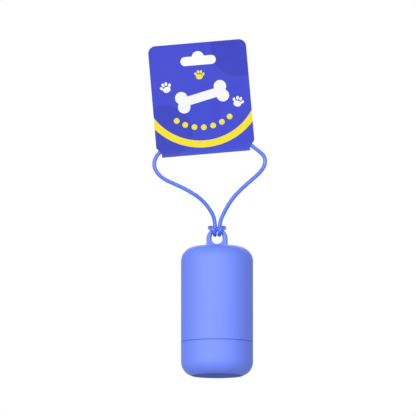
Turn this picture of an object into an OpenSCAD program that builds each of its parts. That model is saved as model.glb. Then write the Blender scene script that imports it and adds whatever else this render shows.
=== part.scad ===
// Capsule dispenser for a roll of small bags, hung by a cord loop from its folded hang card.
// Millimetres. X runs to the viewer's right, Y away from the viewer, Z up.
// The origin is the top of the card's peg slot, where a shop peg carries everything.

/* [Housing] */
// Outer diameter of the capsule
body_d = 43; // [42:0.5:48]
// Height of the capsule from base to crown
body_h = 78; // [76:0.5:90]
// Wall of the housing
wall = 1.8; // [1.5:0.1:2.2]
// Radius of the shoulder at the top
shoulder_r = 9; // [6:0.5:10]
// Rise of the domed crown above the shoulder
crown_h = 0.55; // [0.3:0.05:1]

/* [Bag slot] */
// Width of the slot that bags are pulled through
slot_w = 7; // [6:0.5:9]
// Length of the slot
slot_l = 40; // [30:1:42]
// Height of the slot's lower end above the seam
slot_low = 9; // [7.5:0.5:10]
// Depth of the eased edge around the slot
slot_ease = 0.6; // [0.3:0.1:0.8]

/* [Cap] */
// Height of the cap from base to seam
cap_h = 20; // [17:0.5:22]
// Radius round the foot of the cap
foot_r = 8.8; // [6:0.2:9]
// How much of the foot's round the flat base cuts off
foot_flat = 0.35; // [0.1:0.05:0.6]
// Thickness of the cap's floor
floor_t = 2.2; // [1.8:0.1:3]
// Width of the seam line between cap and housing
seam_gap = 0.15; // [0.1:0.05:0.4]
// Size of the eased edges that meet at the seam
seam_ease = 0.25; // [0.15:0.05:0.5]
// Height of the plug rim that enters the housing
plug_h = 6; // [4:0.5:7]
// Wall of the plug rim
plug_wall = 1.6; // [1.3:0.1:1.8]
// Clearance of the plug rim in the housing
plug_clear = 0.25; // [0.22:0.01:0.35]
// Height of the snap bead on the plug rim
bead_h = 0.18; // [0.1:0.01:0.2]

/* [Bag roll] */
// Bore of the paper core
core_bore_d = 15; // [13:0.5:16]
// Wall of the paper core
core_wall = 1.5; // [1:0.1:2]
// Length of the paper core
core_l = 61; // [58:0.5:62]
// How far the core stands out past the film at each end
film_inset = 0.5; // [0.2:0.1:3]
// Diameter of a full roll
roll_d = 31; // [26:0.5:33]
// Step where the film's loose end lies on the roll
film_step = 0.5; // [0.2:0.1:0.8]
// Running clearance under the roll
roll_clear = 0.3; // [0.2:0.05:0.5]
// Height of the spigot that centres the core
spigot_h = 9; // [6:0.5:12]
// Wall of the spigot
spigot_wall = 1.6; // [1.2:0.1:2]
// Clearance of the spigot in the core
spigot_clear = 0.6; // [0.3:0.1:0.9]

/* [Hanging eye] */
// Width of the eye
eye_w = 12.7; // [12:0.1:14]
// Width of the hole in the eye
eye_hole_w = 6.5; // [6.5:0.1:7.5]
// Thickness of the bar across the top of the eye
eye_bar_t = 2; // [1.6:0.1:2]
// Depth of the eye, front to back
eye_depth = 3.2; // [2.6:0.1:3.6]
// Height of the hole's centre above the crown
eye_rise = 4.25; // [3.9:0.05:5]
// Thickness of the web under the hole
eye_web_t = 2.4; // [2:0.1:2.6]

/* [Cord] */
// Diameter of the cord
cord_d = 2.4; // [2:0.1:2.4]

/* [Hang card] */
// Width of the card
card_w = 58.8; // [56:0.2:60]
// Height of the folded card
card_h = 67.3; // [64:0.1:72]
// Thickness of one layer of card
card_t = 0.4; // [0.3:0.05:0.6]
// Turn of the card, raising its right side
card_turn = 4.9; // [0:0.1:6]
// Radius of the upper corners
corner_r = 4.5; // [2:0.5:6]
// How far each end of the fold is cut back from the card's side
notch_in = 3; // [2:0.1:4]
// Height of the upright part of the notch
notch_low = 2.3; // [1.5:0.1:3]
// Height where the notch meets the card's side
notch_high = 6; // [5:0.1:7]
// Room between cord and card on each side of the cord
pocket_clear = 0.25; // [0.2:0.05:0.5]
// Inner radius of the scored fold
fold_gap = 0.15; // [0.1:0.05:0.6]
// Height above the fold where the pocket is as deep as the cord needs
pocket_low = 3.8; // [2.6:0.1:4]
// Height up to which the pocket keeps that depth
pocket_h = 18; // [17.5:0.5:22]
// Height above which the two layers lie together
seal_h = 42; // [36:1:46]

/* [Peg slot] */
// Length of the peg slot
peg_l = 21.2; // [18:0.2:32]
// Height of the peg slot
peg_h = 5.5; // [5.5:0.1:7]
// Radius of the bump over the slot's middle
bump_r = 3.65; // [3.4:0.05:5]
// Height of the bump's centre above the slot's centre line
bump_rise = 2.1; // [1.5:0.1:3]
// Card left between the bump and the top edge
peg_margin = 5; // [4:0.1:8]

/* [Hidden] */
$fn = 96;
// Cutters run this far past the faces that they cut
over = 1;

// The eye's centre, measured from the peg: right of it, and below it
eye_x = 11.5;
eye_z = -112.9;

crown_z = eye_z - eye_rise;
base_z = crown_z - body_h;
seam_z = base_z + cap_h;
body_r = body_d / 2;
bore_r = body_r - wall;
plug_r = bore_r - plug_clear;
well_r = plug_r - plug_wall;
// The snap bead stands half way up the plug, in a groove whose section is larger by bead_clear
bead_z = seam_z + plug_h / 2;
bead_r = 0.7;
bead_clear = 0.15;
groove_r = bead_r + bead_clear;
plug_lead = 0.6;
plug_top = seam_z + plug_h;
well_corner_r = 4;
floor_z = base_z + floor_t;
spigot_r = core_bore_d / 2 - spigot_clear;
core_r = core_bore_d / 2 + core_wall;
core_z = floor_z + roll_clear;
film_z = core_z + film_inset;
film_w = core_l - 2 * film_inset;
film_turn = 5;

eye_side = (eye_w - eye_hole_w) / 4;
eye_bar = eye_bar_t / 2;
eye_half_y = eye_depth / 2;
eye_flare = 0.7;
eye_sides = 24;
eye_turn = 9;

cord_r = cord_d / 2;
cord_sides = 12;
cord_steps = 2;

bump_w = card_h - peg_margin - bump_r;
peg_w = bump_w - bump_rise;
pocket_half = cord_r + pocket_clear;
fold_r = fold_gap + card_t;
card_depth = 2 * (pocket_half + card_t);

skin = [0.54, 0.62, 0.97];
cord_colour = [0.45, 0.53, 0.95];
card_colour = [0.29, 0.33, 0.83];
paper_colour = [0.78, 0.68, 0.55];
film_colour = [0.25, 0.33, 0.72];

// Route of the cord's free stretches, in place: from the hitch up the left leg, over inside the
// card's fold, and down the right leg to the hitch again
loop_route = [
    [10.3, 2.8, -104.7], [10.3, 2.8, -104.2], [10.3, 2.8, -103.4], [9.6, 2.4, -100.2], [8, 1.8, -96.6],
    [5.5, 1.2, -93], [2.1, 0.7, -89.4], [-1.7, 0.3, -86.5], [-6, 0.1, -83.9], [-10.2, 0, -81.7],
    [-14.6, 0, -79.7], [-19.2, 0, -77.5], [-23, 0, -74.6], [-25.3, 0, -71.4], [-26, 0, -68],
    [-25.2, 0, -64.6], [-22.7, 0, -61.1], [-13.8, 0, -53.2], [-5.2, 0, -48.5], [3.7, 0, -46.4],
    [12.7, 0, -46.9], [22, 0, -50.1], [32.1, 0, -56.9], [36.6, 0, -60.4], [39.2, 0, -62.9],
    [40.2, 0, -66], [39.5, 0, -69.4], [37.3, 0, -72.8], [33.8, 0, -76.2], [29.8, 0, -79.7],
    [25.9, 0.1, -83.3], [22.4, 0.3, -86.9], [19.5, 0.8, -90.6], [17.2, 1.3, -94.3], [15.3, 1.9, -98],
    [13.9, 2.4, -101], [13.1, 2.8, -103.4], [13.1, 2.8, -104.2], [13.1, 2.8, -104.7]
];

// Route of the cow hitch, from the eye's centre: the right leg comes down behind the bar, goes under
// it, up its front and over its shoulder, passes behind both legs, and does the same on the left
hitch_route = [
    [1.6, 2.8, 8.2], [1.6, 2.8, 6.6], [1.6, 2.8, 5], [1.5, 2.2, 3.2], [1.3, 0, 2.2],
    [1.5, -2.2, 3.1], [2.1, -2.9, 4.9], [3.1, -2.4, 6.2], [4, -0.7, 6.8], [4.4, 1.2, 6.7],
    [4.3, 3.2, 6.5], [3.1, 4.9, 6.4], [1.6, 5.5, 6.4], [0, 5.6, 6.4], [-1.6, 5.4, 6.4],
    [-3, 4.7, 6.4], [-4.1, 3, 6.5], [-4.4, 1.2, 6.7], [-4, -0.7, 6.8], [-3.1, -2.4, 6.2],
    [-2.1, -2.9, 4.9], [-1.5, -2.2, 3.1], [-1.3, 0, 2.2], [-1.3, 2.2, 3.2], [-1.2, 2.8, 5],
    [-1.2, 2.8, 6.6], [-1.2, 2.8, 8.2]
];

// A smooth curve through points p, with n steps between each two
function curve_at(a, b, c, d, t) =
    (2 * b + (c - a) * t + (2 * a - 5 * b + 4 * c - d) * t * t + (3 * b - a - 3 * c + d) * t * t * t) / 2;
function smooth(p, n) = let (last = len(p) - 1) concat(
    [for (i = [0 : last - 1], k = [0 : n - 1])
        curve_at(i > 0 ? p[i - 1] : 2 * p[0] - p[1], p[i], p[i + 1],
                 i < last - 1 ? p[i + 2] : 2 * p[last] - p[last - 1], k / n)],
    [p[last]]);

// Direction of a line of points at each point, and a side direction that turns as little as it can
function unit(v) = v / norm(v);
function heading(p, i) =
    unit(i == 0 ? p[1] - p[0] : i == len(p) - 1 ? p[i] - p[i - 1] : p[i + 1] - p[i - 1]);
function square_to(v, t) = unit(v - (v * t) * t);
function sides(p) = [for (i = 0, v = square_to([0, 1, 0], heading(p, 0)); i < len(p);
                          i = i + 1, v = i < len(p) ? square_to(v, heading(p, i)) : v) v];

// Triangles of a tube of n-sided rings, closed at both ends
function tube_faces(rings, n) = concat(
    [[for (j = [0 : n - 1]) j]],
    [for (i = [0 : rings - 2], j = [0 : n - 1]) let (k = (j + 1) % n, low = i * n, high = low + n)
        each [[low + j, high + j, high + k], [low + j, high + k, low + k]]],
    [[for (j = [n - 1 : -1 : 0]) (rings - 1) * n + j]]);

// Round tube of radius r along points p
module tube(p, r, n) {
    v = sides(p);
    rings = [for (i = [0 : len(p) - 1], j = [0 : n - 1])
        let (t = heading(p, i), a = 360 * j / n) p[i] + r * (cos(a) * v[i] + sin(a) * cross(t, v[i]))];
    polyhedron(rings, tube_faces(len(p), n));
}

// How far the inside of each layer is from the middle at height w: it opens from the fold, runs level
// past the cord and closes above it, and both bends are parts of a sine wave
function pocket_at(w) =
    w < pocket_low ? fold_gap + (pocket_half - fold_gap) * sin(90 * (w - fold_r) / (pocket_low - fold_r))
    : w < pocket_h ? pocket_half
    : w < seal_h ? pocket_half * cos(90 * (w - pocket_h) / (seal_h - pocket_h)) : 0;
opening = 6;
closing = 12;
pocket_steps = concat([for (k = [0 : opening]) fold_r + (pocket_low - fold_r) * k / opening],
                      [for (k = [0 : closing]) pocket_h + (seal_h - pocket_h) * k / closing]);

// One face of a layer in the side view, d outside the pocket, from the fold up to where the layers
// meet, and the same points downwards on the other side, without those on the middle line
function layer_line(d) = [for (w = pocket_steps) [pocket_at(w) + d, w]];
function mirrored(p) = [for (i = [len(p) - 1 : -1 : 0]) if (p[i].x > 0) [-p[i].x, p[i].y]];

// Side view of the folded sheet: a scored fold, a pocket, and two layers that close above it
module card_side() {
    outer = concat(layer_line(card_t), [[card_t, card_h]]);
    inner = layer_line(0);
    difference() {
        union() {
            translate([0, fold_r]) circle(fold_r);
            polygon(concat(outer, mirrored(outer)));
        }
        translate([0, fold_r]) circle(fold_gap);
        polygon(concat(inner, mirrored(inner)));
    }
}

// Front view of the card, fold at the bottom, with its corners, notches and peg slot
module card_front() {
    difference() {
        translate([-card_w / 2, 0]) square([card_w, card_h]);
        for (s = [-1, 1]) {
            translate([s * (card_w / 2 - corner_r), card_h - corner_r]) difference() {
                translate([s > 0 ? 0 : -corner_r - over, 0]) square(corner_r + over);
                circle(corner_r);
            }
            polygon([[s * (card_w / 2 - notch_in), -over], [s * (card_w / 2 - notch_in), notch_low],
                     [s * card_w / 2, notch_high], [s * (card_w / 2 + over), notch_high],
                     [s * (card_w / 2 + over), -over]]);
        }
        translate([0, peg_w]) {
            for (s = [-1, 1]) translate([s * (peg_l - peg_h) / 2, 0]) circle(peg_h / 2);
            square([peg_l - peg_h, peg_h], center = true);
        }
        translate([0, bump_w]) circle(bump_r);
    }
}

// Printed card folded round the cord, carried by a peg through its slot
module hang_card() {
    color(card_colour) translate([0, 0, -bump_r]) rotate([0, -card_turn, 0]) translate([0, 0, -bump_w])
        intersection() {
            rotate([90, 0, 90]) linear_extrude(card_w + 2 * over, center = true) card_side();
            rotate([90, 0, 0]) linear_extrude(card_depth + 2 * over, center = true) card_front();
        }
}

// The two hanging legs of the cord and the arch between them, hidden in the card's fold
module cord_loop() {
    color(cord_colour) tube(smooth(loop_route, cord_steps), cord_r, cord_sides);
}

// The cow hitch that ties the cord to the eye
module cord_hitch() {
    color(cord_colour) translate([eye_x, 0, eye_z]) tube(smooth(hitch_route, cord_steps), cord_r, cord_sides);
}

// Half outline of a capsule end: a wall of radius r from low up to a rounded shoulder and a low dome
module dome_half(r, low, top, corner, rise) {
    flat_r = r - corner;
    dome_r = (flat_r * flat_r + rise * rise) / (2 * rise);
    translate([0, low]) square([r, top - rise - corner - low]);
    translate([0, low]) square([flat_r, top - rise - low]);
    translate([flat_r, top - rise - corner]) intersection() {
        circle(corner);
        square(corner);
    }
    intersection() {
        translate([0, top - dome_r]) circle(dome_r);
        translate([0, top - rise]) square([flat_r, rise]);
    }
}

// Half outline of a cup: a wall of radius r from a flat foot with a rounded corner up to high
module cup_half(r, low, high, corner) {
    translate([0, low + corner]) square([r, high - low - corner]);
    translate([0, low]) square([r - corner, high - low]);
    translate([r - corner, low + corner]) intersection() {
        circle(corner);
        translate([0, -corner]) square(corner);
    }
}

// Triangle that eases an outer edge at radius r and height z, towards up = 1 or down = -1
module ease(r, z, up) {
    polygon([[r - seam_ease, z - up * over], [r - seam_ease, z], [r, z + up * seam_ease],
             [r + over, z + up * seam_ease], [r + over, z - up * over]]);
}

// One ring of the eye's section at angle a round the arch, dropped by z and grown by flare
function eye_ring(a, z, flare) =
    let (thin = sin(a) * sin(a),
         half = eye_side + (eye_bar - eye_side) * thin + flare,
         deep = eye_half_y + (eye_bar - eye_half_y) * thin + flare,
         mid = eye_w / 2 - (half - flare))
    [for (j = [0 : eye_sides - 1]) let (b = 360 * j / eye_sides)
        [(mid + half * cos(b)) * cos(a), deep * sin(b), (mid + half * cos(b)) * sin(a) - z]];

// Moulded eye: an arch that slims to a round bar, two legs that flare into the crown, and a web
module eye() {
    leg = eye_rise + over;
    rings = concat(
        eye_ring(0, leg, eye_flare), eye_ring(0, eye_rise - eye_flare, eye_flare / 3),
        eye_ring(0, eye_rise - 2 * eye_flare, 0),
        [for (a = [0 : eye_turn : 180]) each eye_ring(a, 0, 0)],
        eye_ring(180, eye_rise - 2 * eye_flare, 0),
        eye_ring(180, eye_rise - eye_flare, eye_flare / 3), eye_ring(180, leg, eye_flare));
    polyhedron(rings, tube_faces(len(rings) / eye_sides, eye_sides));
    rotate([90, 0, 0]) linear_extrude(eye_web_t, center = true) difference() {
        translate([-eye_w / 2 + eye_side, -leg]) square([eye_w - 2 * eye_side, leg]);
        circle(eye_hole_w / 2);
    }
}

// Cutter for the bag slot in the back wall, with its eased edge
module bag_slot() {
    slot_r = slot_w / 2;
    run = slot_l - slot_w;
    lip_y = body_r - slot_ease;
    lip = slot_ease + over;
    translate([0, 0, seam_z + slot_low + slot_r]) {
        for (z = [0, run]) translate([0, 0, z]) {
            translate([0, bore_r - over, 0]) rotate([-90, 0, 0]) cylinder(wall + 2 * over, slot_r, slot_r);
            translate([0, lip_y, 0]) rotate([-90, 0, 0]) cylinder(lip, slot_r, slot_r + lip);
        }
        translate([-slot_r, bore_r - over, 0]) cube([slot_w, wall + 2 * over, run]);
        linear_extrude(run) polygon([[-slot_r, lip_y], [-slot_r - lip, lip_y + lip],
                                     [slot_r + lip, lip_y + lip], [slot_r, lip_y]]);
    }
}

// Upper shell of the capsule, with the eye on its crown and the bag slot in its back
module housing() {
    color(skin) translate([eye_x, 0, 0]) {
        difference() {
            rotate_extrude() difference() {
                dome_half(body_r, seam_z, crown_z, shoulder_r, crown_h);
                dome_half(bore_r, seam_z - over, crown_z - wall, shoulder_r - wall, crown_h);
                ease(body_r, seam_z, 1);
                translate([bore_r + bead_h - groove_r, bead_z]) circle(groove_r);
            }
            bag_slot();
        }
        translate([0, 0, eye_z]) eye();
    }
}

// Cap that closes the capsule: a cup with a plug rim and snap bead, and a spigot for the roll's core
module cap() {
    rim_z = seam_z - seam_gap;
    spigot_top = spigot_h - spigot_wall / 2;
    color(skin) translate([eye_x, 0, 0]) rotate_extrude() {
        difference() {
            union() {
                cup_half(body_r, base_z - foot_flat, rim_z, foot_r);
                translate([0, rim_z - over]) square([plug_r - plug_lead, plug_top - rim_z + over]);
                translate([0, rim_z - over]) square([plug_r, plug_top - plug_lead - rim_z + over]);
                translate([plug_r + bead_h - bead_r, bead_z]) circle(bead_r);
            }
            cup_half(well_r, floor_z, plug_top + over, well_corner_r);
            ease(body_r, rim_z, -1);
            translate([0, base_z - over]) square([body_r, over]);
        }
        translate([spigot_r - spigot_wall, floor_z - over]) square([spigot_wall, spigot_top + over]);
        translate([spigot_r - spigot_wall / 2, floor_z + spigot_top]) circle(spigot_wall / 2);
    }
}

// Paper core of the roll
module roll_core() {
    color(paper_colour) translate([eye_x, 0, core_z]) difference() {
        cylinder(core_l, core_r, core_r);
        translate([0, 0, -over]) cylinder(core_l + 2 * over, core_bore_d / 2, core_bore_d / 2);
    }
}

// Bags wound on the core; the outline steps in where the film's loose end lies, towards the slot
module bag_roll() {
    color(film_colour) translate([eye_x, 0, film_z]) difference() {
        rotate([0, 0, 90]) linear_extrude(film_w)
            polygon([for (a = [0 : film_turn : 360]) (roll_d / 2 - film_step * a / 360) * [cos(a), sin(a)]]);
        translate([0, 0, -over]) cylinder(film_w + 2 * over, core_r, core_r);
    }
}

hang_card();
cord_loop();
cord_hitch();
housing();
cap();
roll_core();
bag_roll();
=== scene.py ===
"""Capsule dispenser for pet waste bags, hung by its cord from a folded card.

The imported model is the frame. Lengths are written in millimetres and turned into metres by MM.
X runs to the viewer's right, Y away from the viewer and Z up; the origin is the top of the peg slot.
"""

import bpy
import numpy as np
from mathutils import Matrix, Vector


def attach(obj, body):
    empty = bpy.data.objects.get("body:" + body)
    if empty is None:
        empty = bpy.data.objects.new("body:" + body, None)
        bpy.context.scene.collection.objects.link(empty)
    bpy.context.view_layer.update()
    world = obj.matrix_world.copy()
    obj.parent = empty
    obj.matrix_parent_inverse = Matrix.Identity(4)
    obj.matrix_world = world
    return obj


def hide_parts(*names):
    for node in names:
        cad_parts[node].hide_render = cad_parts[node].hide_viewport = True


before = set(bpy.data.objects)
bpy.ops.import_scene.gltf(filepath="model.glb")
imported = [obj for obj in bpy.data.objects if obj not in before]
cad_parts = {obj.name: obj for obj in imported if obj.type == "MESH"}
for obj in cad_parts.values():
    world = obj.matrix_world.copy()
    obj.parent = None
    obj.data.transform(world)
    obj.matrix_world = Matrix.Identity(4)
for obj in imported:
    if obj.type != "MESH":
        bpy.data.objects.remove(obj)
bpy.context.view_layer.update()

# View. The dispenser hangs a little above the viewer's eyes, and is seen from so far away that its
# near and far sides look the same size.
MM = 0.001
view_centre = np.array([6.1, 0, -94.5]) * MM
view_width = 248.4 * MM
look_up = np.radians(6.5)
lens = 1000
sensor = 36
view_distance = view_width * lens / sensor

camera_data = bpy.data.cameras.new("view")
camera_data.lens = lens
camera_data.sensor_width = sensor
camera = bpy.data.objects.new("view", camera_data)
camera.location = view_centre - view_distance * np.array([0, np.cos(look_up), np.sin(look_up)])
camera.rotation_euler = (np.pi / 2 + look_up, 0, 0)
bpy.context.collection.objects.link(camera)
bpy.context.scene.camera = camera

# Cord. One round silicone cord, its ends moulded together inside the fold of the card. It hangs
# from the fold in two legs and is tied to the moulded eye with a cow hitch. The first route is its
# middle line from the hitch through the fold and back, and the second goes round the eye.
cord_d = 2.4
free_route = np.array([
    [10.3, 2.8, -104.7], [10.3, 2.8, -104.2], [10.3, 2.8, -103.4], [9.6, 2.4, -100.2], [8, 1.8, -96.6],
    [5.5, 1.2, -93], [2.1, 0.7, -89.4], [-1.7, 0.3, -86.5], [-6, 0.1, -83.9], [-10.2, 0, -81.7],
    [-14.6, 0, -79.7], [-19.2, 0, -77.5], [-23, 0, -74.6], [-25.3, 0, -71.4], [-26, 0, -68],
    [-25.2, 0, -64.6], [-22.7, 0, -61.1], [-13.8, 0, -53.2], [-5.2, 0, -48.5], [3.7, 0, -46.4],
    [12.7, 0, -46.9], [22, 0, -50.1], [32.1, 0, -56.9], [36.6, 0, -60.4], [39.2, 0, -62.9],
    [40.2, 0, -66], [39.5, 0, -69.4], [37.3, 0, -72.8], [33.8, 0, -76.2], [29.8, 0, -79.7],
    [25.9, 0.1, -83.3], [22.4, 0.3, -86.9], [19.5, 0.8, -90.6], [17.2, 1.3, -94.3], [15.3, 1.9, -98],
    [13.9, 2.4, -101], [13.1, 2.8, -103.4], [13.1, 2.8, -104.2], [13.1, 2.8, -104.7]])
eye_centre = np.array([11.5, 0, -112.9])
hitch_route = eye_centre + np.array([
    [1.6, 2.8, 8.2], [1.6, 2.8, 6.6], [1.6, 2.8, 5], [1.5, 2.2, 3.2], [1.3, 0, 2.2],
    [1.5, -2.2, 3.1], [2.1, -2.9, 4.9], [3.1, -2.4, 6.2], [4, -0.7, 6.8], [4.4, 1.2, 6.7],
    [4.3, 3.2, 6.5], [3.1, 4.9, 6.4], [1.6, 5.5, 6.4], [0, 5.6, 6.4], [-1.6, 5.4, 6.4],
    [-3, 4.7, 6.4], [-4.1, 3, 6.5], [-4.4, 1.2, 6.7], [-4, -0.7, 6.8], [-3.1, -2.4, 6.2],
    [-2.1, -2.9, 4.9], [-1.5, -2.2, 3.1], [-1.3, 0, 2.2], [-1.3, 2.2, 3.2], [-1.2, 2.8, 5],
    [-1.2, 2.8, 6.6], [-1.2, 2.8, 8.2]])
moulded_joint = 19
square_ends = 3
cord_steps = 8
cord_sides = 24
cord_deep, cord_light = (0.052, 0.137, 0.71), (0.07, 0.163, 0.77)


def smooth_loop(points, steps):
    """Closed curve through the points: each stretch is the cubic that leaves and arrives in the
    directions that join its neighbours (Catmull-Rom), worked out for all stretches at once."""
    before, start, end, after = (np.roll(points, k, 0)[:, None] for k in (1, 0, -1, -2))
    t = (np.arange(steps) / steps)[None, :, None]
    curve = (2 * start + (end - before) * t + (2 * before - 5 * start + 4 * end - after) * t**2
             + (3 * start - before - 3 * end + after) * t**3) / 2
    return curve.reshape(-1, 3)


def carried_sides(line):
    """Two side directions at right angles to a closed line at each point. The first is carried from
    point to point without turning, and the turn that is left at the end of the loop is spread over
    all its points. The second is the cross product of the line's direction and the first."""
    ahead = np.roll(line, -1, 0) - np.roll(line, 1, 0)
    ahead /= np.linalg.norm(ahead, axis=1)[:, None]
    side = np.empty_like(line)
    carried = np.array([0.0, 1, 0])
    for k, direction in enumerate(np.vstack([ahead, ahead[:1]])):
        carried = carried - carried @ direction * direction
        carried /= np.linalg.norm(carried)
        if k < len(line):
            side[k] = carried
    left_over = np.arctan2(np.cross(side[0], carried) @ ahead[0], side[0] @ carried)
    turn = (-left_over * np.arange(len(line)) / len(line))[:, None]
    side = np.cos(turn) * side + np.sin(turn) * np.cross(ahead, side)
    return side, np.cross(ahead, side)


def closed_mesh(name, points):
    """Mesh of a grid of points in metres, rows by columns. Each square joins a point to its
    neighbours in the next row and the next column, and the grid closes on itself both ways."""
    rows, columns = points.shape[:2]
    i, j = np.arange(rows)[:, None], np.arange(columns)[None, :]
    i2, j2 = (i + 1) % rows, (j + 1) % columns
    squares = np.stack([i * columns + j, i * columns + j2, i2 * columns + j2, i2 * columns + j], -1)
    mesh = bpy.data.meshes.new(name)
    mesh.from_pydata(points.reshape(-1, 3), [], squares.reshape(-1, 4))
    mesh.polygons.foreach_set("use_smooth", np.ones(len(mesh.polygons), bool))
    mesh.update()
    return mesh


def new_piece(name, points, material, body):
    """Object of a closed grid of points, that moves with a CAD body and has a slot's finish."""
    mesh = closed_mesh(name, points)
    mesh.materials.append(material)
    piece = bpy.data.objects.new(name, mesh)
    bpy.context.collection.objects.link(piece)
    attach(piece, body)
    return piece


class Finish:
    """A material and short ways to add nodes to it."""

    def __init__(self, name, specular):
        self.material = bpy.data.materials.new(name)
        self.material.use_nodes = True
        self.nodes = self.material.node_tree.nodes
        self.shader = self.nodes["Principled BSDF"]
        self.shader.inputs["Specular IOR Level"].default_value = specular
        coordinates = self.nodes.new("ShaderNodeTexCoord").outputs
        self.place = coordinates["Object"]
        self.facing = coordinates["Normal"]

    def put(self, value, socket):
        """Sets a socket to a plain value, or links it to another node's output."""
        if isinstance(value, bpy.types.NodeSocket):
            self.material.node_tree.links.new(value, socket)
        else:
            socket.default_value = value

    def shade(self, **values):
        """Feeds the shader's own inputs, named in small letters with underscores."""
        for name, value in values.items():
            self.put(value, self.shader.inputs[name.replace("_", " ").title()])

    def node(self, kind, *values, **settings):
        """Adds a node, gives it its settings and its inputs in order, and returns its outputs."""
        made = self.nodes.new("ShaderNode" + kind)
        for key, value in settings.items():
            setattr(made, key, value)
        for value, socket in zip(values, made.inputs):
            if value is not None:
                self.put(value, socket)
        return made.outputs

    def maths(self, operation, *values):
        """Result of one operation on numbers."""
        return self.node("Math", *values, operation=operation)[0]

    def vector(self, operation, *values):
        """Result of one operation on vectors, where that is itself a vector."""
        return self.node("VectorMath", *values, operation=operation)[0]

    def noise(self, where, scale, layers):
        """Soft noise from 0 to 1, with its features counted a metre and that many finer layers."""
        return self.node("TexNoise", where, None, scale, layers)["Fac"]

    def blend(self, share, first, second):
        """Colour that goes from first to second as share goes from 0 to 1."""
        made = self.nodes.new("ShaderNodeMix")
        made.data_type = "RGBA"
        self.put(share, made.inputs["Factor"])
        for colour, socket in ((first, "A_Color"), (second, "B_Color")):
            target = [s for s in made.inputs if s.identifier == socket][0]
            self.put(colour if isinstance(colour, bpy.types.NodeSocket) else (*colour, 1), target)
        return [s for s in made.outputs if s.identifier == "Result_Color"][0]

    def grained(self, patches, texture, smooth, rough):
        """Adds the shared grain with this finish's own values, and returns its tone, roughness and
        height."""
        made = self.nodes.new("ShaderNodeGroup")
        made.node_tree = grain
        for value, socket in zip((self.place, patches, texture, smooth, rough), made.inputs):
            self.put(value, socket)
        return made.outputs

    def relief(self, height, strength, depth):
        """Bump of a height, whose full range stands for a depth in millimetres."""
        made = self.nodes.new("ShaderNodeBump")
        made.inputs["Strength"].default_value = strength
        made.inputs["Distance"].default_value = depth * MM
        self.put(height, made.inputs["Height"])
        self.put(made.outputs["Normal"], self.shader.inputs["Normal"])


# Grain that every moulded, printed and wound surface has: soft patches of tone, a gloss that
# varies more finely than they do, and a fine texture. Patches and Texture count features a metre.
finer_gloss, grain_layers = 2.6, 3
grain = bpy.data.node_groups.new("surface_grain", "ShaderNodeTree")
grain.interface.new_socket("Place", in_out="INPUT", socket_type="NodeSocketVector")
for name in ("Patches", "Texture", "Smooth", "Rough"):
    grain.interface.new_socket(name, in_out="INPUT", socket_type="NodeSocketFloat")
for name in ("Tone", "Roughness", "Height"):
    grain.interface.new_socket(name, in_out="OUTPUT", socket_type="NodeSocketFloat")
grain_in = grain.nodes.new("NodeGroupInput").outputs
grain_out = grain.nodes.new("NodeGroupOutput").inputs
gloss_scale = grain.nodes.new("ShaderNodeMath")
gloss_scale.operation = "MULTIPLY"
gloss_scale.inputs[1].default_value = finer_gloss
gloss_range = grain.nodes.new("ShaderNodeMapRange")
grain.links.new(grain_in["Patches"], gloss_scale.inputs[0])
grain.links.new(grain_in["Smooth"], gloss_range.inputs["To Min"])
grain.links.new(grain_in["Rough"], gloss_range.inputs["To Max"])
for scale, target in ((grain_in["Patches"], grain_out["Tone"]),
                      (gloss_scale.outputs[0], gloss_range.inputs["Value"]),
                      (grain_in["Texture"], grain_out["Height"])):
    clouds = grain.nodes.new("ShaderNodeTexNoise")
    clouds.inputs["Detail"].default_value = grain_layers
    grain.links.new(grain_in["Place"], clouds.inputs["Vector"])
    grain.links.new(scale, clouds.inputs["Scale"])
    grain.links.new(clouds.outputs["Fac"], target)
grain.links.new(gloss_range.outputs["Result"], grain_out["Roughness"])

silicone = Finish("silicone", specular=0.55)
cord_tone, cord_gloss, cord_height = silicone.grained(patches=160, texture=2600, smooth=0.24, rough=0.36)
silicone.shade(base_color=silicone.blend(cord_tone, cord_deep, cord_light), roughness=cord_gloss)
silicone.relief(cord_height, strength=0.12, depth=0.05)

# The closed route starts at the moulded joint. It leaves out the close points at both ends of the
# free route, which only square those ends off to the hitch.
cord_route = np.vstack([
    free_route[moulded_joint:-square_ends], hitch_route, free_route[square_ends:moulded_joint]])
cord_line = smooth_loop(cord_route, cord_steps)

# The tube is a circle round each point of the line: half the cord's thickness times the cosine of
# the angle along one side direction and its sine along the other
cord_side, cord_up = carried_sides(cord_line)
around = np.linspace(0, 2 * np.pi, cord_sides, endpoint=False)[None, :, None]
cord_points = cord_line[:, None] + cord_d / 2 * (
    np.cos(around) * cord_side[:, None] + np.sin(around) * cord_up[:, None])
cord = new_piece("cord", cord_points * MM, silicone.material, "hanger")
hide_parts("cord_loop", "cord_hitch")

# Hang card. Printed and matt laminated board 0.4 mm thick, folded at its lower edge round the cord
# and glued above it. Its print is a plain pattern of bones, paws, dots and discs, on both sides.
# It hangs a little askew. Places on it are measured from the middle of its lower edge.
card_turn = np.radians(4.9)
slot_bump_r, slot_bump_height = 3.65, 58.65
fold_middle, fold_top = 0.55, 1.5
ring_height, ring_r, ring_half_width = 43, 37, 2.1
dots_r, dot_r, dot_angles = 27, 1.7, range(-36, 37, 12)
discs = ((25, 62, 17), (-23, 15, 16))
card_blue, card_shade = (0.023, 0.036, 0.5), (0.015, 0.025, 0.41)
card_yellow, card_white = (0.75, 0.62, 0.002), (0.74, 0.75, 0.76)
ink_edge, ink_haze = 0.06, 0.02
# Painted light towards the fold: where it starts, its largest share, and its paler colour
painted_light_top, painted_light_share, painted_light_colour = 4.6, 0.2, (0.22, 0.32, 1)
board_white, board_grey = (0.78, 0.78, 0.76), (0.66, 0.66, 0.64)
edge_facing, bare_matt = 0.4, 0.35

card = Finish("printed_card", specular=0.2)


def card_frame(vector, shift, size):
    """Turns a place or direction of the object into the card's own: across, through and up it."""
    return card.node("Mapping", vector, shift, (0, card_turn, 0), (size, size, size))[0]


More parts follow.
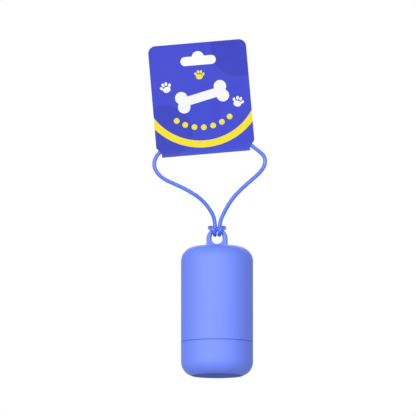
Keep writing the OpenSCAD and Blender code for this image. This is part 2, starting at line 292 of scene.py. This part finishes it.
def spot(middle_x, middle_z, half_x, half_z, turn, boxed):
    """How far a point lies outside an ellipse, or a rectangle if boxed: its place in the shape's own
    turned and scaled frame, from the middle, less one, in units of the smaller half size."""
    own = card.node("Mapping", flat_place, (middle_x, 0, middle_z), (0, turn, 0), (half_x, 1, half_z),
                    vector_type="TEXTURE")[0]
    if boxed:
        x, _, z = card.node("SeparateXYZ", card.vector("ABSOLUTE", own))
        reach = card.maths("MAXIMUM", x, z)
    else:
        reach = card.node("VectorMath", own, operation="LENGTH")["Value"]
    return card.maths("MULTIPLY", card.maths("SUBTRACT", reach, 1.0), min(half_x, half_z))


def placed(middle_x, middle_z, size, turn, motif):
    """The spots of a motif, given in its own frame, turned, sized and moved to their place."""
    cosine, sine = size * np.cos(turn), size * np.sin(turn)
    return [spot(middle_x + cosine * x + sine * z, middle_z + cosine * z - sine * x,
                 size * half_x, size * half_z, turn + own_turn, boxed)
            for x, z, half_x, half_z, own_turn, boxed in motif]


def printed(*reaches):
    """Share of ink from 0 to 1 of several spots: full where a point lies inside any of them."""
    nearest = reaches[0]
    for reach in reaches[1:]:
        nearest = card.maths("MINIMUM", nearest, reach)
    return card.node("MapRange", nearest, ink_edge, -ink_edge, interpolation_type="SMOOTHSTEP")["Result"]


# The object's origin is the highest point of the peg slot's bump, one radius straight above its middle
origin_on_card = (slot_bump_r * np.sin(card_turn), 0, slot_bump_height + slot_bump_r * np.cos(card_turn))
on_card = card_frame(card.place, origin_on_card, 1 / MM)
_, through, up = card.node("SeparateXYZ", on_card)
facing_across, facing_through, facing_up = card.node("SeparateXYZ", card_frame(card.facing, (0, 0, 0), 1))
flat_place = card.vector("MULTIPLY", on_card, (1, 0, 1))

# A motif is a list of spots round its middle: a paw is a pad and four toes, a bone is a bar and
# four knobs
paw = [(0, -0.45, 1, 0.78, 0, False),
       (-1.12, 0.35, 0.36, 0.5, -0.5, False), (-0.42, 1.02, 0.36, 0.5, -0.15, False),
       (0.42, 1.02, 0.36, 0.5, 0.15, False), (1.12, 0.35, 0.36, 0.5, 0.5, False)]
bone = [(0, 0, 2.6, 0.62, 0, True)] + [
    (x, z, 0.85, 0.85, 0, False) for x in (-2.75, 2.75) for z in (-0.66, 0.66)]

# The yellow garland is a ring round a point above the middle, kept to the card's lower part, with a
# row of dots inside it. The discs, given by middle and radius, are a darker blue.
ring = card.maths("ABSOLUTE", spot(0, ring_height, ring_r, ring_r, 0, False))
garland = card.maths("MAXIMUM", card.maths("SUBTRACT", ring, ring_half_width),
                     card.maths("SUBTRACT", up, ring_height))
dots = [spot(dots_r * np.sin(angle), ring_height - dots_r * np.cos(angle), dot_r, dot_r, 0, False)
        for angle in np.radians(dot_angles)]

shade_ink = printed(*[spot(x, z, r, r, 0, False) for x, z, r in discs])
yellow_ink = printed(garland, *dots, *placed(0, 47.6, 2, 0.1, paw))
white_ink = printed(*placed(0.5, 34.5, 4.4, -0.22, bone), *placed(-20.5, 41.5, 2.3, -0.35, paw),
                    *placed(21.5, 29.5, 2.3, 0.4, paw))
ink = card.blend(shade_ink, card_blue, card_shade)
ink = card.blend(yellow_ink, ink, card_yellow)
ink = card.blend(white_ink, ink, card_white)

# Painted light: the print is made a little paler towards the fold, to lift the shade where the board
# bends under into its fold
painted_light_near_fold = card.node("MapRange", up, painted_light_top, fold_middle, 0.0, painted_light_share,
                   interpolation_type="SMOOTHSTEP")["Result"]
ink = card.blend(painted_light_near_fold, ink, painted_light_colour)

# Bare board shows on the cut edges, which face neither front nor back, and inside the fold, where
# the surface faces the middle of the board and not away from it
sideways = card.maths("LESS_THAN", card.maths("ABSOLUTE", facing_through), edge_facing)
above_fold = card.maths("GREATER_THAN", up, fold_top)
end_of_fold = card.maths("GREATER_THAN", card.maths("ABSOLUTE", facing_across), edge_facing)
cut_edge = card.maths("MULTIPLY", sideways, card.maths("MAXIMUM", above_fold, end_of_fold))
below_middle = card.maths("MINIMUM", card.maths("SUBTRACT", up, fold_middle), 0.0)
outward = card.maths("ADD", card.maths("MULTIPLY", through, facing_through),
                     card.maths("MULTIPLY", below_middle, facing_up))
bare = card.maths("MAXIMUM", cut_edge, card.maths("LESS_THAN", outward, 0.0))

card_tone, card_gloss, card_height = card.grained(patches=30, texture=1500, smooth=0.46, rough=0.54)
ink = card.blend(card_tone, ink, card.blend(ink_haze, ink, (1, 1, 1)))
fibre = card.blend(card.noise(card.place, scale=1500, layers=4), board_white, board_grey)
card.shade(base_color=card.blend(bare, ink, fibre),
           roughness=card.maths("MULTIPLY_ADD", bare, bare_matt, card_gloss))
card.relief(card_height, strength=0.1, depth=0.04)


def dress(node, finish):
    """Gives a CAD node a finish in place of its plain material."""
    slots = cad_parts[node].data.materials
    slots.clear()
    slots.append(finish.material)


dress("hang_card", card)

# Housing and cap. Moulded plastic with a soft-touch coat outside, which gives it a broad dull
# sheen; inside, the bare moulding is a little smoother and darker. The cap's rim plugs into the
# housing, and the bead round it snaps into a groove there.
axis_x = 11.5
skin_colour, skin_low = (0.134, 0.226, 0.92), (0.127, 0.216, 0.9)
# The foot's colour is a darker copy of the coat, painted shade for the underside
inside_colour, foot_shade_colour = (0.078, 0.145, 0.74), (0.06, 0.13, 0.7)
inside_facing, inside_polish = -1, -0.15
foot_facing, foot_matt = -0.97, 0.4

# A surface is inside where it faces back to the axis, and is the foot where it faces straight down
plastic = Finish("soft_touch_plastic", specular=0.85)
from_axis = plastic.vector("MULTIPLY", plastic.vector("SUBTRACT", plastic.place, (axis_x * MM, 0, 0)),
                           (1, 1, 0))
leaning = plastic.node("VectorMath", from_axis, plastic.facing, operation="DOT_PRODUCT")["Value"]
inside = plastic.maths("LESS_THAN", leaning, inside_facing * MM)
foot = plastic.maths("LESS_THAN", plastic.node("SeparateXYZ", plastic.facing)["Z"], foot_facing)

skin_tone, skin_gloss, skin_height = plastic.grained(patches=45, texture=5200, smooth=0.61, rough=0.67)
# The foot's darker colour is painted shade for the underside, which faces away from the lamps; its extra
# matt roughness is real
coat_and_foot_shade = plastic.blend(foot, plastic.blend(skin_tone, skin_low, skin_colour), foot_shade_colour)
gloss = plastic.maths("MULTIPLY_ADD", inside, inside_polish, skin_gloss)
plastic.shade(base_color=plastic.blend(inside, coat_and_foot_shade, inside_colour),
              roughness=plastic.maths("MULTIPLY_ADD", foot, foot_matt, gloss))
plastic.relief(skin_height, strength=0.1, depth=0.03)
dress("housing", plastic)
dress("cap", plastic)

# Roll core. A tube wound from strips of grey-brown paper board, whose joint climbs round it. It
# stands loose on the cap's spigot.
board_dark, board_light, joint_dark = (0.5, 0.37, 0.24), (0.62, 0.48, 0.33), (0.3, 0.21, 0.13)
joint_pitch, joint_width = 26, 0.5

# The climb is the share of a turn plus the share of a pitch; the joint is where it is a whole number
board = Finish("core_board", specular=0.2)
x, y, z = board.node("SeparateXYZ", board.vector("SUBTRACT", board.place, (axis_x * MM, 0, 0)))
climb = board.maths("ADD", board.maths("DIVIDE", board.maths("ARCTAN2", y, x), 2 * np.pi),
                    board.maths("DIVIDE", z, joint_pitch * MM))
to_joint = board.maths("PINGPONG", climb, 0.5)
joint = board.maths("LESS_THAN", to_joint, joint_width / 2 / joint_pitch)

board_tone, board_gloss, board_height = board.grained(patches=240, texture=1800, smooth=0.8, rough=0.92)
board.shade(base_color=board.blend(joint, board.blend(board_tone, board_dark, board_light), joint_dark),
            roughness=board_gloss)
board.relief(board.maths("SUBTRACT", board_height, joint), strength=0.35, depth=0.08)
dress("roll_core", board)

# Bag roll. Thin film, folded lengthwise and wound on the core. Its turns show on both ends, the
# outer turn is creased along its length, and its loose edge faces the slot.
roll_r, core_r, loose_edge_step = 15.5, 9.0, 0.5
film_low, film_width = -192.15, 60
turn_pitch, turn_relief = 0.62, 0.14
turn_unevenness, unevenness_step = 0.06, 5.1
edge_round, crease_room, crease_depth = 0.35, 0.15, 0.05
bore_gap, bore_inset = 0.005, 1
roll_columns, face_rows, wall_rows = 240, 64, 24
film_dark, film_light = (0.035, 0.07, 0.4), (0.06, 0.11, 0.52)
crinkle_length, crinkle_scale, texture_share = 0.12, 520, 0.3

turn = np.linspace(0, 2 * np.pi, roll_columns, endpoint=False)[:, None]
outer = roll_r - loose_edge_step * turn / (2 * np.pi)


def end_face(share, height, outward):
    """One end of the roll at every turn angle: the radius runs from core to edge, and the height
    falls inwards by a cosine of the turn count, which rises with radius and with angle, so the
    valleys wind outwards as one spiral. Each turn stands in a little by a sine of its number."""
    r = core_r + (outer - edge_round - core_r) * share
    count = (r - core_r) / turn_pitch + turn / (2 * np.pi)
    sunk = turn_relief * (0.5 + 0.5 * np.cos(2 * np.pi * count))
    sunk = sunk + turn_unevenness * np.sin(unevenness_step * np.floor(count))**2
    return np.stack([r, height - outward * sunk], -1)


# The profile at each turn angle goes out over the bottom, up the side, in over the top and down
# the bore. The side is creased by three waves of the angle, which fade in and out along it.
face = np.linspace(0, 1, face_rows)
bottom = end_face(face, film_low, -1)
top = end_face(face[::-1], film_low + film_width, 1)
wall = np.linspace(0, 1, wall_rows)
rise = film_low + edge_round + (film_width - 2 * edge_round) * wall
creases = crease_depth * (np.sin(turn * 17 + 1) + np.sin(turn * 29) + np.sin(turn * 7 + 2))
side_r = outer - crease_room + creases * (0.6 + 0.4 * np.sin(9 * wall + 3 * turn))
side = np.stack([side_r, np.broadcast_to(rise, side_r.shape)], -1)
bore_ends = [film_low + film_width - bore_inset, film_low + bore_inset]
bore = np.stack([np.full((roll_columns, 2), core_r + bore_gap),
                 np.broadcast_to(bore_ends, (roll_columns, 2))], -1)
profile = np.concatenate([bottom, side, top, bore], 1)
r, height = profile[..., 0], profile[..., 1]
angle = turn + np.pi / 2
roll_points = np.stack([axis_x + r * np.cos(angle), r * np.sin(angle), height], -1)

film = Finish("bag_film", specular=0.5)
drawn_out = film.vector("MULTIPLY", film.place, (1, 1, crinkle_length))
crinkle = film.noise(drawn_out, crinkle_scale, layers=4)
film_tone, film_gloss, film_height = film.grained(patches=110, texture=900, smooth=0.28, rough=0.45)
film.shade(base_color=film.blend(film.maths("MULTIPLY", crinkle, film_tone), film_dark, film_light),
           roughness=film_gloss)
film.relief(film.maths("MULTIPLY_ADD", film_height, texture_share, crinkle), strength=0.4, depth=0.25)
bag_roll = new_piece("film_roll", roll_points * MM, film.material, "roll")
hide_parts("bag_roll")

# Studio. A pale paper floor under the hanging dispenser, soft lamps in front and behind, and a white
# surround. Seen from below the floor is clear, because the view comes from under its level.
floor_z, floor_half = -300, 20000
floor_grey, floor_glow = (0.5, 0.5, 0.5, 1), 0.72
white = (1, 1, 1, 1)
air_light = 0.15


def seen_directly(tree):
    """One where a ray shows a surface as it looks, straight, in a gloss or through a clear piece, and
    zero where it only carries that surface's light: the largest of three ray marks."""
    marks = tree.nodes.new("ShaderNodeLightPath").outputs
    seen = marks["Is Camera Ray"]
    for ray in ("Is Glossy Ray", "Is Transmission Ray"):
        larger = tree.nodes.new("ShaderNodeMath")
        larger.operation = "MAXIMUM"
        tree.links.new(seen, larger.inputs[0])
        tree.links.new(marks[ray], larger.inputs[1])
        seen = larger.outputs[0]
    return seen


corners = np.array([[-1, -1], [1, -1], [1, 1], [-1, 1]]) * floor_half
floor_mesh = bpy.data.meshes.new("floor")
floor_mesh.from_pydata(np.column_stack([corners, np.full(4, floor_z)]) * MM, [], [(0, 1, 2, 3)])
floor = bpy.data.objects.new("floor", floor_mesh)
bpy.context.collection.objects.link(floor)
paper = Finish("floor_paper", specular=0.1)
glow = paper.maths("MULTIPLY", seen_directly(paper.material.node_tree), floor_glow)
paper.shade(base_color=floor_grey, roughness=0.9, emission_color=white, emission_strength=glow)
clear = paper.node("BsdfTransparent")[0]
from_below = paper.node("NewGeometry")["Backfacing"]
shown = paper.node("MixShader", from_below, paper.shader.outputs[0], clear)[0]
paper.put(shown, paper.nodes["Material Output"].inputs["Surface"])
floor_mesh.materials.append(paper.material)

world = bpy.data.worlds.new("studio")
world.use_nodes = True
bpy.context.scene.world = world
air = world.node_tree
air.nodes["Background"].inputs["Color"].default_value = white
level = air.nodes.new("ShaderNodeMapRange")
level.inputs["To Min"].default_value = air_light
air.links.new(seen_directly(air), level.inputs["Value"])
air.links.new(level.outputs["Result"], air.nodes["Background"].inputs["Strength"])

# Each lamp's place and width are in millimetres, and its power in watts
for name, where, width, power in (("lamp_left", (-2290, -2370, 370), 1350, 49),
                                  ("lamp_front", (-310, -3285, 370), 1350, 36),
                                  ("lamp_right", (1790, -2760, 370), 1350, 29),
                                  ("lamp_above", (-190, -2820, 1510), 2100, 15),
                                  ("lamp_behind", (170, 3900, 1990), 2700, 125)):
    light = bpy.data.lights.new(name, "AREA")
    light.size = width * MM
    light.energy = power
    lamp = bpy.data.objects.new(name, light)
    lamp.location = Vector(where) * MM
    aim = Vector(view_centre) - lamp.location
    lamp.rotation_euler = aim.to_track_quat("-Z", "Y").to_euler()
    lamp.visible_camera = False
    bpy.context.collection.objects.link(lamp)

bpy.context.scene.view_settings.view_transform = "Standard"
